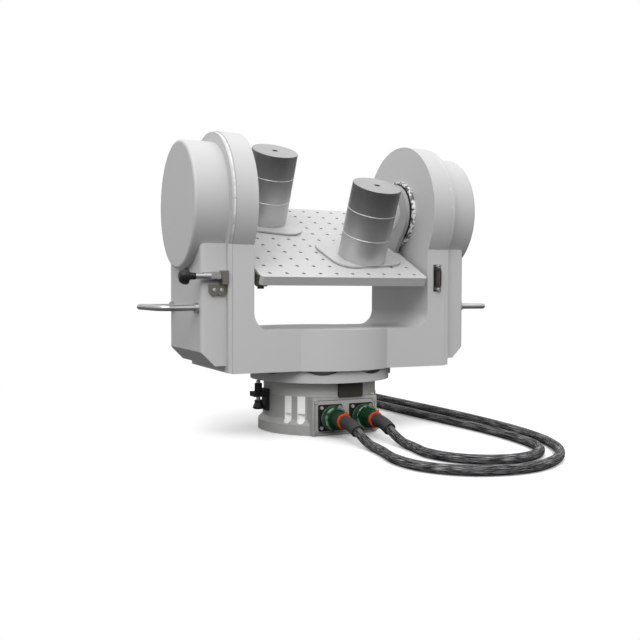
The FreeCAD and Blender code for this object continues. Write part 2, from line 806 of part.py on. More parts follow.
def elevationPlunger():
    """The hand plunger that holds the platform in its stow position."""
    where = {"y": "0 - pin_forward", "z": f"{axisHeight} - pin_drop"}
    blockFace = f"({coverFace} + bracket_depth)"
    barrelEnd = f"({blockFace} + barrel_length)"
    tail = f"({barrelEnd} + pin_travel + fit_gap)"
    bracket = newBody("elevation_plunger_bracket")
    block = rectangle(above(bracket, "0 - barrel_across"), (f"0 - {blockFace}", "0 - 2 * wall"),
                      (f"0 - {coverFace}", "pin_forward - box_front"))
    pad(bracket, block, "2 * bracket_depth")
    lobe = "(bracket_foot / 2 - 5)"
    foot = rectangle(ahead(bracket, "box_front - pin_forward"),
                     (f"0 - {coverFace} - bracket_foot", "0 - 2 * bracket_depth"),
                     (f"0 - {coverFace}", "0 - barrel_across"))
    pad(bracket, foot, "wall")
    for centre in (lobe, f"bracket_foot - {lobe}"):
        end = circle(ahead(bracket, "box_front - pin_forward"), f"0 - {coverFace} - ({centre})",
                     "0 - 2 * bracket_depth", lobe)
        pad(bracket, end, "wall")
    cut(bracket, circle(beside(bracket, -1, coverFace), "0", "0", "barrel_across / 2 - 1"), "bracket_depth")
    placed(bracket, **where)
    barrel = newBody("elevation_plunger_barrel")
    corner = "barrel_across / 2 / cos(30 deg)"
    flats = polygon(beside(barrel, -1, blockFace),
                    [(f"{corner} * cos({angle} deg)", f"{corner} * sin({angle} deg)")
                     for angle in range(30, 390, 60)])
    pad(barrel, flats, "hex_length", way=-1)
    sleeve = circle(beside(barrel, -1, f"{blockFace} + hex_length"), "0", "0", "barrel_across / 2")
    pad(barrel, sleeve, "barrel_length - hex_length", way=-1)
    pad(barrel, circle(beside(barrel, -1, coverFace), "0", "0", "barrel_across / 2 - 1"), "bracket_depth", way=-1)
    hollow = circle(beside(barrel, -1, coverFace), "0", "0", "pin_radius + pin_clearance / 4")
    cut(barrel, hollow, "bracket_depth + barrel_length")
    mouth = circle(beside(barrel, -1, barrelEnd), "0", "0", "tail_radius + pin_clearance / 4")
    cut(barrel, mouth, "pin_travel + 2", way=1)
    placed(barrel, **where)
    pin = newBody("elevation_plunger_pin")
    turnedSideways(pin, [
        (f"0 - {tail}", "0"),
        (f"0 - {tail}", "tail_radius"),
        (f"1 - {barrelEnd}", "tail_radius"),
        (f"1 - {barrelEnd}", "pin_radius"),
        ("0 - arm_inner - pin_setback - 1", "pin_radius"),
        ("0 - arm_inner - pin_setback", "pin_radius - 1"),
        ("0 - arm_inner - pin_setback", "0"),
    ])
    placed(pin, **where)
    knob = newBody("elevation_plunger_knob")
    turnedSideways(knob, [
        (f"0 - {tail}", "0"),
        (f"0 - {tail}", "knob_radius * 0.4"),
        (f"0 - {tail} - knob_length * 0.36", "knob_radius * 0.45"),
        (f"0 - {tail} - knob_length * 0.45", "knob_radius * 0.93"),
        (f"0 - {tail} - knob_length * 0.52", "knob_radius"),
        (f"0 - {tail} - knob_length * 0.72", "knob_radius"),
        (f"0 - {tail} - knob_length * 0.92", "knob_radius * 0.75"),
        (f"0 - {tail} - knob_length", "knob_radius * 0.35"),
        (f"0 - {tail} - knob_length", "0"),
    ])
    placed(knob, **where)


def dsubOutline(inset):
    """The D shape, which is longer on the side of the platform."""
    across = f"(dsub_rim_width / 2 - {inset})"
    longer = f"(dsub_rim_length / 2 - {inset})"
    shorter = f"({longer} - dsub_taper)"
    return [(f"0 - {across}", f"0 - {longer}"), (across, f"0 - {shorter}"), (across, shorter),
            (f"0 - {across}", longer)]


def dsubConnector():
    body = newBody("dsub_shell")
    plate = rectangle(ahead(body, "yoke_half_depth"), ("0 - dsub_width / 2", "0 - dsub_length / 2"),
                      ("dsub_width / 2", "dsub_length / 2"))
    pad(body, plate, "1")
    rim = polygon(ahead(body, "yoke_half_depth + 1"), dsubOutline("0"))
    pad(body, rim, "dsub_rim_height")
    well = polygon(ahead(body, "yoke_half_depth + 1 + dsub_rim_height"), dsubOutline("dsub_wall"))
    cut(body, well, "dsub_rim_height - 1")
    placed(body, x="dsub_place", z=f"{axisHeight} - dsub_drop")


# PLATFORM
def pinOnPlatform():
    """Where the stow pin's axis crosses the platform's frame: its Y and its Z there."""
    along = "0 - pin_forward * cos(tilt * 1 deg) - pin_drop * sin(tilt * 1 deg)"
    over = "pin_forward * sin(tilt * 1 deg) - pin_drop * cos(tilt * 1 deg)"
    return along, over


def platform():
    body = newBody("platform")
    depth = f"({(holeRows - 1) / 2} * hole_pitch + platform_margin)"
    plan = rectangle(above(body, "0 - platform_top"), ("0 - platform_half_width", f"platform_shift - {depth}"),
                     ("platform_half_width", f"platform_shift + {depth}"))
    pad(body, plan, "platform_thickness", way=-1)
    dressed(body, "Fillet", "platform_round", lambda edge: runsAlong(edge, 0, 0, 1))
    holes = above(body, "0 - platform_top")
    for column in range(holeColumns):
        for row in range(holeRows):
            circle(holes, f"{column - (holeColumns - 1) / 2} * hole_pitch",
                   f"platform_shift + {row - (holeRows - 1) / 2} * hole_pitch", "hole_radius")
    cut(body, holes, "platform_thickness")
    socket = circle(beside(body, -1, "platform_half_width"), *pinOnPlatform(), "pin_radius + pin_clearance")
    cut(body, socket, "3 * wall", way=1)
    onPlatform(body)


def stowReceiver():
    """A bracket round the platform's pin hole, with a foot under the platform."""
    along, over = pinOnPlatform()
    under = "(0 - platform_top - platform_thickness)"
    body = newBody("stow_receiver")
    leg = rectangle(beside(body, -1, "platform_half_width"), (f"{along} - receiver_width / 2", f"{under} - wall"),
                    (f"{along} + receiver_width / 2", "0 - platform_top"))
    circle(leg, along, over, "pin_radius + pin_clearance")
    pad(body, leg, "receiver_thickness", way=-1)
    foot = rectangle(beside(body, -1, "platform_half_width"), (f"{along} - receiver_width / 2", f"{under} - wall"),
                     (f"{along} + receiver_width / 2", under))
    pad(body, foot, "receiver_foot", way=1)
    onPlatform(body)


def uprightPlate(name, side):
    body = newBody(name + "_upright")
    place = "upright_outer - upright_thickness"
    shoulder = "sqrt(upright_radius ^ 2 - upright_waist ^ 2)"
    leg = polygon(beside(body, side, place), [
        ("0 - upright_foot", "0 - platform_top"),
        ("upright_foot", "0 - platform_top"),
        (shoulder, "0 - upright_waist"),
        (f"0 - {shoulder}", "0 - upright_waist"),
    ])
    pad(body, leg, "upright_thickness", way=side)
    pad(body, circle(beside(body, side, place), "0", "0", "upright_radius"), "upright_thickness", way=side)
    cut(body, circle(beside(body, side, place), "0", "0", "upright_bore"), "upright_thickness", way=side)
    onPlatform(body)


def trunnions():
    """Hollow stub shafts, each with a flange on its upright and a shoulder for its bearing."""
    height = value(axisHeight)
    shafts = []
    for side in sides.values():
        way = (side, 0, 0)
        flange = tube((side * value("upright_outer"), 0, height), way, "trunnion_bore", "trunnion_flange",
                      "arm_inner - 1 - upright_outer")
        shoulder = tube((side * value("arm_inner - 1"), 0, height), way, "trunnion_bore",
                        "(trunnion_radius + bearing_split) / 2", "1")
        shaft = tube((side * value("arm_inner"), 0, height), way, "trunnion_bore", "trunnion_radius",
                     "trunnion_end - arm_inner")
        shafts.append(flange.fuse([shoulder, shaft]).removeSplitter())
    group("trunnions", shafts)


def elevationTurning():
    ringPair("elevation_inner_races", "arm_inner", "(arm_inner + bearing_width)", "trunnion_radius", "bearing_split")
    rotor = newBody("elevation_motor_rotor")
    ring(rotor, "0 - arm_outer - elevation_motor_width", "0 - arm_outer - 1", "trunnion_radius",
         "stator_bore - motor_gap")
    onPlatform(rotor)
    disc = newBody("elevation_encoder_disc")
    ring(disc, "disc_place", "disc_place + encoder_thickness", "trunnion_radius", "disc_radius")
    onPlatform(disc)


def seatCorner(name, across, along):
    """A corner of a seat plate, which is turned about its middle."""
    turn = f"({seatTurns[name]} deg)"
    right, back = f"{across} * seat_half_length", f"{along} * seat_half_width"
    x = f"{name}_weight_x + {name}_seat_x + {right} * cos{turn} - {back} * sin{turn}"
    y = f"{name}_weight_y + {name}_seat_y + {right} * sin{turn} + {back} * cos{turn}"
    return x, y


def seatedWeights(name):
    """A stack of steel discs on a thin plate that a hub holds just clear of the platform."""
    x, y = name + "_weight_x", name + "_weight_y"
    seat = newBody(name + "_seat_plate")
    top = "(0 - platform_top + seat_lift)"
    corners = [seatCorner(name, across, along) for across, along in ((-1, -1), (1, -1), (1, 1), (-1, 1))]
    pad(seat, polygon(above(seat, top), corners), "seat_thickness", way=-1)
    dressed(seat, "Fillet", "seat_round", lambda edge: runsAlong(edge, 0, 0, 1))
    pad(seat, circle(above(seat, "0 - platform_top"), x, y, "weight_radius - 1"), "seat_lift / 2")
    onPlatform(seat)
    discs = []
    for layer in range(weightLayers):
        base = (value(x), value(y), value(top) + layer * value("weight_height"))
        disc = rod(base, (0, 0, 1), "weight_radius", "weight_height")
        rims = [edge for edge in disc.Edges if isinstance(edge.Curve, Part.Circle)]
        disc = disc.makeChamfer(value("weight_edge"), rims)
        discs.append(disc.cut(rod(base, (0, 0, 1), "weight_bore", "weight_height")))
    onPlatform(group(name + "_weights", discs))


# CONNECTORS AND CABLES
def connector(name, side):
    place = {"x": signed(side, "connector_spacing"), "z": "connector_height"}
    shell = newBody(name + "_connector_shell")
    half = "connector_flange / 2"
    flange = rectangle(ahead(shell, "panel_front"), (f"0 - {half}", f"0 - {half}"), (half, half))
    pad(shell, flange, "connector_flange_thickness")
    dressed(shell, "Fillet", "wall / 2", lambda edge: runsAlong(edge, 0, 1, 0))
    pad(shell, circle(ahead(shell, shellFace), "0", "0", "shell_radius"), "shell_length")
    placed(shell, **place)
    nut = newBody(name + "_coupling_nut")
    turnedForward(nut, [
        ("shell_radius + nut_gap", f"{shellFace} + nut_gap"),
        ("nut_radius - 1.5", f"{shellFace} + nut_gap"),
        ("nut_radius - 1.5", f"{shellFace} + nut_length * 0.3"),
        ("nut_radius", f"{shellFace} + nut_length * 0.4"),
        ("nut_radius", f"{shellFace} + nut_length * 0.9"),
        ("nut_radius - 1", f"{shellFace} + nut_length"),
        ("shell_radius + nut_gap", f"{shellFace} + nut_length"),
    ])
    placed(nut, **place)


def bootPath(side):
    """The middle line of a boot, which starts along -Y and droops."""
    angle = math.radians(value("boot_droop"))
    bend = value("boot_length") / math.sin(angle)
    start = FreeCAD.Vector(side * value("connector_spacing"), -value(f"{clampFace} + ring_band"),
                           value("connector_height"))
    return [start + FreeCAD.Vector(0, -math.sin(part * angle), math.cos(part * angle) - 1) * bend
            for part in (0, 0.5, 1)]


def cableFittings():
    """Behind each coupling nut: a backshell, a coloured clamp ring and a rubber boot."""
    shells = []
    clamps = []
    boots = []
    forward = (0, -1, 0)
    for side in sides.values():
        x, z = side * value("connector_spacing"), value("connector_height")
        mouth = (x, -value(f"{shellFace} + shell_length"), z)
        front = rod(mouth, forward, "shell_radius", "nut_length / 3")
        shells.append(front.fuse(rod(mouth, forward, "backshell_radius", "backshell_length")).removeSplitter())
        clamps.append(rod((x, -value(clampFace), z), forward, "backshell_radius - 1", "ring_band"))
        line = bootPath(side)
        root = Part.Wire([Part.Circle(line[0], FreeCAD.Vector(*forward), value("boot_radius")).toShape()])
        boots.append(Part.Wire([Part.Arc(*line).toShape()]).makePipeShell([root], True, False))
    group("backshells", shells)
    group("clamp_rings", clamps)
    group("cable_boots", boots)


def roundedPath(points):
    """Straight runs joined by tangent arcs, each as large as its two runs allow."""
    edges = []
    radii = []
    start = points[0]
    for before, corner, after in zip(points, points[1:], points[2:]):
        arriving, leaving = corner - before, after - corner
        reach = arcShare * min(arriving.Length, leaving.Length)
        half = arriving.getAngle(leaving) / 2
        radii.append(reach / math.tan(half))
        arriving.normalize()
        leaving.normalize()
        inward = leaving - arriving
        inward.normalize()
        first, last = corner - arriving * reach, corner + leaving * reach
        middle = corner + inward * radii[-1] * (1 / math.cos(half) - 1)
        edges += [Part.LineSegment(start, first).toShape(), Part.Arc(first, middle, last).toShape()]
        start = last
    edges.append(Part.LineSegment(start, points[-1]).toShape())
    return Part.Wire(edges), radii


def cable(name, side):
    """A cable's tube, its coil on the floor behind the base, and the plug that lies on the coil."""
    points = [bootPath(side)[-1]] + [FreeCAD.Vector(x, y, value("cable_radius")) for x, y in cableRoutes[name]]
    path, radii = roundedPath(points)
    print(name, "cable radii:", [round(radius) for radius in radii], "length:", round(path.Length))
    section = Part.Wire([Part.Circle(points[0], points[1] - points[0], value("cable_radius")).toShape()])
    lead = path.makePipeShell([section], True, False)
    if abs(lead.Volume / (path.Length * math.pi * value("cable_radius") ** 2) - 1) > 0.01:
        raise ValueError(name + " cable: its volume is not its section times its length")
    group(name + "_cable", [lead])
    x, y = coilPlaces[name]
    coil = newBody(name + "_cable_coil")
    ring(coil, "0", "2 * cable_radius", "coil_radius - coil_half_width", "coil_radius + coil_half_width",
         turnedUpright)
    placed(coil, x=str(x), y=str(y))
    plug = newBody(name + "_cable_plug")
    turnedSideways(plug, [
        ("0 - plug_radius * 2", "0"),
        ("0 - plug_radius * 2", "cable_radius + 1"),
        ("0 - plug_radius", "plug_radius - 3"),
        ("0 - plug_radius", "plug_radius - 1"),
        ("plug_radius / 3", "plug_radius - 1"),
        ("plug_radius / 3", "plug_radius"),
        ("plug_radius * 1.6", "plug_radius"),
        ("plug_radius * 1.6", "plug_radius - 2"),
        ("plug_radius * 2", "plug_radius - 2"),
        ("plug_radius * 2", "0"),
    ])
    placed(plug, x=f"{x} + coil_radius * cos({plugAngle} deg)", y=f"{y} + coil_radius * sin({plugAngle} deg)",
           z="2 * cable_radius + plug_radius", turn=f"{plugAngle} + 90")


baseHousing()
connectorPanel()
panelScrews()
azimuthStage()
azimuthStops()
azimuthPlunger()
turntable()
yokeFrame()
for sideName, sideSign in sides.items():
    sideCover(sideName, sideSign)
    drumCover(sideName, sideSign)
    uprightPlate(sideName, sideSign)
    seatedWeights(sideName)
    connector(sideName, sideSign)
    cable(sideName, sideSign)
handles()
elevationStage()
trunnions()
elevationTurning()
elevationPlunger()
dsubConnector()
platform()
stowReceiver()
cableFittings()
doc.recompute()

for thing in doc.Objects:
    if {"Invalid", "Error"} & set(thing.State):
        raise RuntimeError(f"{thing.Label} did not build: {thing.State}")
for thing in parts:
    if thing.Shape.isNull() or not thing.Shape.isValid():
        raise RuntimeError(thing.Label + " has no valid shape")
os.makedirs("parts", exist_ok=True)
for thing in parts:
    thing.Shape.exportStep(f"parts/{thing.Label}.step")
    print(f"{thing.Label}: {len(thing.Shape.Solids)} solid, {thing.Shape.Volume:.0f} mm3")
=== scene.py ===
import math

import bmesh
import bpy
from mathutils import Matrix, Vector


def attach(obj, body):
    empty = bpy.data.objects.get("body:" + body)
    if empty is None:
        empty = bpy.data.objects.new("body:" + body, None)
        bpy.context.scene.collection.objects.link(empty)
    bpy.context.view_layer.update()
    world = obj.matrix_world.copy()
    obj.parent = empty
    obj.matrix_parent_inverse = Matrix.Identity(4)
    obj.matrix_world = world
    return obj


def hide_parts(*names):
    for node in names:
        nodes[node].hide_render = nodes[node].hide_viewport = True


# Optical gimbal mount: a breadboard platform tilts in a yoke, and the yoke turns on a round base.
# Metres: a size reads as millimetres times mm. +Z is up, X is the elevation axis, the connectors face -Y.

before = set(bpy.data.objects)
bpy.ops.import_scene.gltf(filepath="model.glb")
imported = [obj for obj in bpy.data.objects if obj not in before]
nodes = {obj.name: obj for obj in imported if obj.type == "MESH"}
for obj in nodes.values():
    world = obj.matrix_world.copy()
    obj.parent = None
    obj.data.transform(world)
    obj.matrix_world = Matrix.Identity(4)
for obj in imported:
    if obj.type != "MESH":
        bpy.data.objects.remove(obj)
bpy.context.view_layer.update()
mm = 0.001

axisHeight = 319 * mm
tilt = math.radians(25.3)
armOuter = 165 * mm
platformTop = -49.4 * mm
wallGrey = (0.62, 0.625, 0.615)
weights = {"places": {"left": (-53, 80), "right": (51, -62)}, "seat": 3.5, "height": 36.6, "count": 3,
           "edge": 34.3, "boltSink": 2.5}

print("stage: camera")
cameraAt = Vector((-0.5314, -1.1361, 0.1993))
cameraTurn = math.radians(25.11)
cameraDip = math.radians(1.9)
cameraRoll = math.radians(0.11)
camera = bpy.data.objects.new("camera", bpy.data.cameras.new("camera"))
camera.data.lens = 47.46
camera.data.sensor_width = 36
bpy.context.collection.objects.link(camera)
bpy.context.scene.camera = camera
camera.matrix_world = (Matrix.Translation(cameraAt) @ Matrix.Rotation(-cameraTurn, 4, "Z")
                       @ Matrix.Rotation(math.pi / 2 - cameraDip, 4, "X") @ Matrix.Rotation(cameraRoll, 4, "Z"))


class Number:
    # A socket that carries a number or a vector, so that shader maths reads as arithmetic.
    def __init__(self, shader, socket):
        self.shader = shader
        self.socket = socket

    def paired(self, operation, *others):
        return self.shader.math(operation, self, *others)

    def __add__(self, other):
        return self.paired("ADD", other)

    def __radd__(self, other):
        return self.paired("ADD", other)

    def __sub__(self, other):
        return self.paired("SUBTRACT", other)

    def __rsub__(self, other):
        return self.shader.math("SUBTRACT", other, self)

    def __mul__(self, other):
        return self.paired("MULTIPLY", other)

    def __truediv__(self, other):
        return self.paired("DIVIDE", other)

    def __abs__(self):
        return self.paired("ABSOLUTE")

    def wave(self, period):
        return (self * (2 * math.pi / period)).paired("SINE")

    def root(self):
        return self.paired("SQRT")

    def part(self):
        return self.paired("FRACT")

    def least(self, other):
        return self.paired("MINIMUM", other)

    def most(self, other):
        return self.paired("MAXIMUM", other)

    def below(self, limit, soft):
        return self.shader.ramp(self, limit + soft, limit - soft)

    def beyond(self, limit, soft):
        return self.shader.ramp(self, limit - soft, limit + soft)


class Shader:
    def __init__(self, name):
        self.material = bpy.data.materials.new(name)
        self.material.use_nodes = True
        self.tree = self.material.node_tree
        self.tree.nodes.clear()
        self.output = self.tree.nodes.new("ShaderNodeOutputMaterial")
        self.surface = self.tree.nodes.new("ShaderNodeBsdfPrincipled")
        self.tree.links.new(self.surface.outputs["BSDF"], self.output.inputs["Surface"])

    def node(self, kind, settings=None, sockets=None):
        made = self.tree.nodes.new("ShaderNode" + kind)
        for key, setting in (settings or {}).items():
            setattr(made, key, setting)
        for key, given in (sockets or {}).items():
            if isinstance(given, Number):
                self.tree.links.new(given.socket, made.inputs[key])
            else:
                made.inputs[key].default_value = given
        return made

    def math(self, operation, *values):
        made = self.node("Math", {"operation": operation}, dict(enumerate(values)))
        return Number(self, made.outputs[0])

    def ramp(self, value, start, end):
        made = self.node("MapRange", {"interpolation_type": "SMOOTHSTEP"},
                         {"Value": value, "From Min": start, "From Max": end})
        return Number(self, made.outputs["Result"])

    def vector(self, x, y, z):
        return Number(self, self.node("CombineXYZ", None, {"X": x, "Y": y, "Z": z}).outputs[0])

    def place(self, kind="Object"):
        parts = self.node("SeparateXYZ", None, {0: Number(self, self.node("TexCoord").outputs[kind])})
        return [Number(self, parts.outputs[axis]) for axis in "XYZ"]

    def placeOnPlatform(self):
        # The platform's own frame: its origin is on the elevation axis and its z is square to the platform.
        x, y, z = self.place()
        up = z - axisHeight
        return x, y * math.cos(tilt) + up * math.sin(tilt), up * math.cos(tilt) - y * math.sin(tilt)

    def noise(self, where, scale, detail=2, rough=0.5):
        made = self.node("TexNoise", None, {"Vector": self.vector(*where), "Scale": scale, "Detail": detail,
                                            "Roughness": rough})
        return Number(self, made.outputs["Fac"])

    def mix(self, amount, low, high):
        # Inputs 6 and 7 of the node are its two colours, and output 2 is their mix.
        made = self.node("Mix", {"data_type": "RGBA"}, {"Factor": amount, 6: low, 7: high})
        return Number(self, made.outputs[2])

    def shade(self, colour, amount):
        # A colour that an amount around 1 makes lighter or darker.
        return self.mix(amount * 0.5, (0, 0, 0, 1), tuple(min(1, 2 * each) for each in colour) + (1,))

    def mottled(self, colour, where, scale, detail, darkest, spread):
        # A colour whose tone drifts from place to place.
        return self.shade(colour, darkest + self.noise(where, scale, detail) * spread)

    def bump(self, height, distance, strength):
        made = self.node("Bump", None, {"Height": height, "Distance": distance, "Strength": strength})
        return Number(self, made.outputs[0])

    def finish(self, colour, roughness, normal, **others):
        given = {"Base Color": colour, "Roughness": roughness, "Normal": normal}
        for name, value in others.items():
            given[name.replace("_", " ").title().replace("Ior", "IOR")] = value
        for name, value in given.items():
            socket = self.surface.inputs[name]
            if isinstance(value, Number):
                self.tree.links.new(value.socket, socket)
            else:
                socket.default_value = value
        return self.material


print("stage: materials")


paintTone = {"scale": 7, "detail": 3, "darkest": 0.965, "spread": 0.07}
scuffs = {"scale": 60, "detail": 4, "rough": 0.65}


def satinPaint(name, colour, grain=1.0):
    # Powder coat: a fine orange peel, slow changes of tone and rubbed patches that shine a little more.
    shader = Shader(name)
    x, y, z = where = shader.place()
    fine = shader.noise(where, scale=620)
    rough = 0.36 + shader.noise((x * 3, y * 3, z * 0.6), **scuffs) * 0.16 + fine * 0.04
    peel = fine * 0.7 + shader.noise(where, scale=1500, detail=1) * 0.3
    return shader.finish(shader.mottled(colour, where, **paintTone), rough,
                         shader.bump(peel, distance=0.00006 * grain, strength=0.5), specular_ior_level=0.45)


coverRim = {"start": 100.8 * mm, "middle": 167.5 * mm, "half": 0.9 * mm, "seam": 0.4 * mm}


def coverPaint():
    # The same paint, with the flange's round rim painted light, partly bare machined metal and partly a painted
    # highlight along its chamfer that is brighter on the left head, and small flecks lost along its seam.
    shader = Shader("cover_paint")
    x, y, z = where = shader.place()
    up = z - axisHeight
    outside = (y * y + up * up).root().beyond(coverRim["start"], 0.0003)
    rim = outside * abs(abs(x) - coverRim["middle"]).below(coverRim["half"], 0.0005) * up.beyond(-0.05, 0.02)
    patches = shader.noise(where, scale=60, detail=3).beyond(0.45, 0.12)
    # The rim is painted light: partly bare machined metal, partly a painted highlight along its chamfer, in bright
    # patches on the left head only.
    wearAndHighlight = rim * (0.12 + x.below(0, 0.01) * patches * 0.7)
    seam = outside * abs(abs(x) - armOuter - coverRim["seam"]).below(coverRim["seam"], 0.0002)
    flecks = (wearAndHighlight * shader.noise(where, scale=170, detail=3).beyond(0.60, 0.03)).most(seam * 0.4)
    base = shader.mix(wearAndHighlight, shader.mottled(wallGrey, where, **paintTone), (0.90, 0.90, 0.89, 1))
    base = shader.mix(flecks, base, (0.20, 0.20, 0.19, 1))
    rough = 0.38 + shader.noise((x * 3, y * 3, z * 0.6), **scuffs) * 0.16 - rim * 0.12
    peel = shader.noise(where, scale=620) * 0.7 - flecks
    return shader.finish(base, rough, shader.bump(peel, distance=0.00008, strength=0.5), specular_ior_level=0.45)


def castPaint():
    # The yoke's casting: the same paint over a slightly uneven skin, with a few light flecks along the outer edge
    # of each head.
    shader = Shader("yoke_paint")
    x, y, z = where = shader.place()
    edge = abs(abs(x) - armOuter).below(0.0008, 0.0004) * z.beyond(0.3, 0.03)
    # Light flecks along the outer edge of each head, in its upper part.
    edgeFlecks = edge * shader.noise(where, scale=190).beyond(0.66, 0.03)
    coat = shader.mottled(wallGrey, where, **{**paintTone, "scale": 6})
    rough = 0.37 + shader.noise((x, y, z * 0.4), scale=45, detail=4, rough=0.65) * 0.15
    skin = shader.noise(where, scale=560) * 0.06 + shader.noise(where, scale=22)
    return shader.finish(shader.mix(edgeFlecks, coat, (0.86, 0.86, 0.84, 1)), rough,
                         shader.bump(skin, distance=0.0006, strength=0.35), specular_ior_level=0.45)


boltSlots = {"radius": 84 * mm, "angles": (42.5, 56.5), "half": 5.7 * mm, "bottom": 6.1 * mm}


def basePaint():
    # Darker paint; the bolt slots are painted near white, partly bare machined metal showing through and partly a
    # painted highlight in their hollows.
    shader = Shader("base_paint")
    x, y, z = where = shader.place()
    slotBareAndLit = None
    for angle in boltSlots["angles"]:
        across = abs(x) - boltSlots["radius"] * math.sin(math.radians(angle))
        along = abs(y) - boltSlots["radius"] * math.cos(math.radians(angle))
        near = (across * across + along * along).root().below(boltSlots["half"], 0.0001)
        slotBareAndLit = near if slotBareAndLit is None else slotBareAndLit.most(near)
    slotBareAndLit = slotBareAndLit * z.beyond(boltSlots["bottom"], 0.0001)
    streaks = shader.noise((x * 6, y * 6, z * 0.5), scale=90, detail=3)
    coat = shader.mottled((0.35, 0.35, 0.34), where, scale=14, detail=4, darkest=0.93, spread=0.14)
    peel = shader.noise(where, scale=520) * (1 - slotBareAndLit * 0.8)
    # The slots' near-white colour is bare metal with a painted highlight.
    return shader.finish(shader.mix(slotBareAndLit, coat, (0.95, 0.95, 0.94, 1)), 0.42 + streaks * 0.12,
                         shader.bump(peel, distance=0.00007, strength=0.5), specular_ior_level=0.45)


panelEdge = {"side": 47.5 * mm, "bottom": 3.5 * mm, "top": 49.5 * mm, "shadedGroove": 0.8 * mm}


def panelPaint():
    # The connector panel: fine brushing under thin paint and a milled line inside its edge, painted dark as the
    # shade in the groove.
    shader = Shader("panel_paint")
    x, y, z = where = shader.place()
    inset = (panelEdge["side"] - abs(x)).least((z - panelEdge["bottom"]).least(panelEdge["top"] - z))
    shadedGroove = abs(inset - panelEdge["shadedGroove"]).below(0.0005, 0.0002)
    coat = shader.mottled((0.38, 0.38, 0.365), where, scale=30, detail=4, darkest=0.93, spread=0.14)
    brushed = shader.noise((x * 0.2, y, z * 6), scale=420, detail=3)
    normal = shader.bump(brushed * 0.15 - shadedGroove, distance=0.0005, strength=0.7)
    # The groove's dark colour is painted shade.
    return shader.finish(shader.mix(shadedGroove, coat, (0.17, 0.17, 0.165, 1)), 0.4 + brushed * 0.14, normal,
                         specular_ior_level=0.45)


holes = {"pitch": 25 * mm, "shift": 9 * mm, "radius": 2.72 * mm, "thread": 1 * mm}


def platformPaint():
    # A pale plate with a grid of tapped holes, whose walls show dark metal and a thread.
    shader = Shader("platform_paint")
    x, y, z = where = shader.placeOnPlatform()
    across = abs((x / holes["pitch"]).part() - 0.5) * holes["pitch"]
    along = abs(((y - holes["shift"]) / holes["pitch"] + 0.5).part() - 0.5) * holes["pitch"]
    inside = (across * across + along * along).root().below(holes["radius"], 0.00004)
    coat = shader.mottled((0.93, 0.93, 0.92), where, scale=11, detail=4, darkest=0.97, spread=0.06)
    height = shader.noise(where, scale=700) * 0.12 + z.wave(holes["thread"]) * inside * 0.5
    rough = 0.38 + shader.noise(where, scale=50, detail=4) * 0.14
    return shader.finish(shader.mix(inside, coat, (0.42, 0.42, 0.41, 1)), rough,
                         shader.bump(height, distance=0.00035, strength=0.5), metallic=inside * 0.3,
                         specular_ior_level=0.5)


def turnedSteel(name, middle):
    # Dark steel from the lathe: lines round the side and rings on the top, with a painted highlight along the
    # chamfer where two weights meet.
    # The side is painted lighter toward the platform as a reflection of the pale plate, and the top is painted
    # lighter than the side for the light it catches.
    shader = Shader(name)
    x, y, z = shader.placeOnPlatform()
    across, along = x - middle[0] * mm, y - middle[1] * mm
    radius = (across * across + along * along).root()
    side = radius.beyond(weights["edge"] * mm, 0.0002)
    lines = shader.noise((across * 0.6, along * 0.6, z * 40), scale=40, detail=4, rough=0.7)
    rings = shader.noise((radius * 60, 0, 0), scale=40, detail=3, rough=0.7)
    marks = lines * side + rings * (1 - side)
    smears = shader.noise((across, along, z * 0.3), scale=30, detail=4, rough=0.6)
    up = z - platformTop
    layers = ((up - weights["seat"] * mm) / (weights["height"] * mm)).part()
    # A highlight painted along the chamfer where two weights meet.
    chamferHighlight = abs(layers - 0.5).beyond(0.484, 0.006) * side * up.below(0.1, 0.004)
    # The side is painted lighter toward the platform, as a reflection of the pale plate.
    platformReflection = shader.ramp(z, platformTop + 0.112, platformTop + 0.01)
    # The top is painted lighter than the side, for the light that falls on it.
    toneAndLight = 0.4 + marks * 0.3 + smears * 0.25 + side * platformReflection * 1.5 + (1 - side) * 0.6
    base = shader.mix(chamferHighlight, shader.shade((0.30, 0.30, 0.30), toneAndLight), (0.70, 0.70, 0.69, 1))
    return shader.finish(base, 0.27 + marks * 0.12 + smears * 0.1,
                         shader.bump(marks, distance=0.00005, strength=0.6), metallic=0.8, anisotropic=0.5)


def brightSteel(name, colour, stretch=(1, 1, 1), roughness=0.2, wear=0.14, metallic=1.0):
    # Polished or drawn steel with fine lines along one axis.
    shader = Shader(name)
    where = shader.place()
    drawn = shader.noise([each * by for each, by in zip(where, stretch)], scale=500, detail=3, rough=0.6)
    stain = shader.noise(where, scale=60, detail=4)
    base = shader.shade(colour, 0.82 + stain * 0.3 + drawn * 0.08)
    return shader.finish(base, roughness + stain * wear + drawn * 0.08,
                         shader.bump(drawn, distance=0.00003, strength=0.5), metallic=metallic)


def rolledSheet(name, colour, roughness, metallic):
    # Bare sheet metal with a rolled grain and scratches.
    shader = Shader(name)
    x, y, z = where = shader.place()
    grain = shader.noise((x * 0.15, y * 2, z * 2), scale=500, detail=3)
    scratches = shader.noise((x * 4, y * 0.3, z), scale=240).beyond(0.66, 0.02)
    base = shader.shade(colour, 0.86 + shader.noise(where, scale=40, detail=4) * 0.2 + scratches * 0.12)
    normal = shader.bump(grain * 0.5 + scratches, distance=0.00004, strength=0.6)
    return shader.finish(base, roughness + grain * 0.14, normal, metallic=metallic)


connectorBands = ((97.5 * mm, 0.7 * mm), (108.5 * mm, 0.6 * mm))


